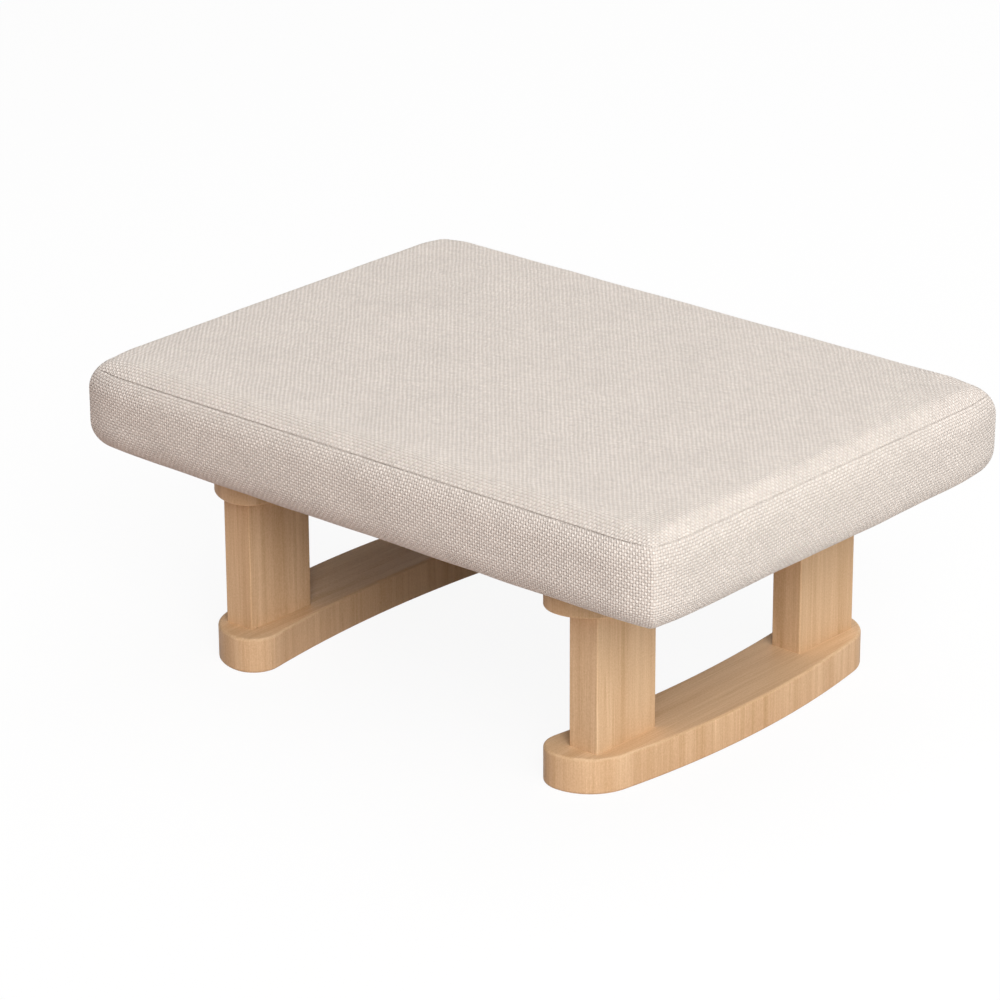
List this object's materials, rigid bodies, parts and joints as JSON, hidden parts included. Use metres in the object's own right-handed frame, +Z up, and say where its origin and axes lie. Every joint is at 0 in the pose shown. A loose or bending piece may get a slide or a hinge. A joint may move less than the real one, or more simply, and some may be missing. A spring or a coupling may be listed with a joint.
{
  "type": "footstool",
  "caption": "Low rectangular footstool: a padded seat in a woven fabric cover with soft rounded edges, on outward-bowed wooden rails joined by short upright posts.",
  "frame": {"origin": "on the floor, under the middle of the seat", "axes": "+X along the seat's length, +Y along its depth towards the back, +Z up"},
  "size_m": [0.41, 0.3, 0.17],
  "materials": {
    "cover_fabric": "matt plain weave",
    "foam": "open-cell foam",
    "plywood": "bare plywood",
    "rail_wood": "satin clear lacquer",
    "post_wood": "satin clear lacquer",
    "dowel_wood": "bare fluted dowel",
    "dust_cover_fabric": "matt non-woven",
    "plated_steel": "zinc plated",
    "staple_steel": "bright wire"
  },
  "bodies": {
    "root": {"top_panel": "cover_fabric", "side_band": "cover_fabric", "foam_pad": "foam", "seat_board": "plywood", "dust_cover": "dust_cover_fabric", "cover_staples": "staple_steel", "dust_cover_staples": "staple_steel", "left_bottom_rail": "rail_wood", "left_top_rail": "rail_wood", "left_front_post": "post_wood", "left_rear_post": "post_wood", "right_bottom_rail": "rail_wood", "right_top_rail": "rail_wood", "right_front_post": "post_wood", "right_rear_post": "post_wood", "tee_nuts": "plated_steel", "leg_bolts": "plated_steel", "leg_bolt_washers": "plated_steel", "bottom_post_screws": "plated_steel", "top_post_screws": "plated_steel", "bottom_dowels": "dowel_wood", "top_dowels": "dowel_wood"}
  },
  "joints": []
}
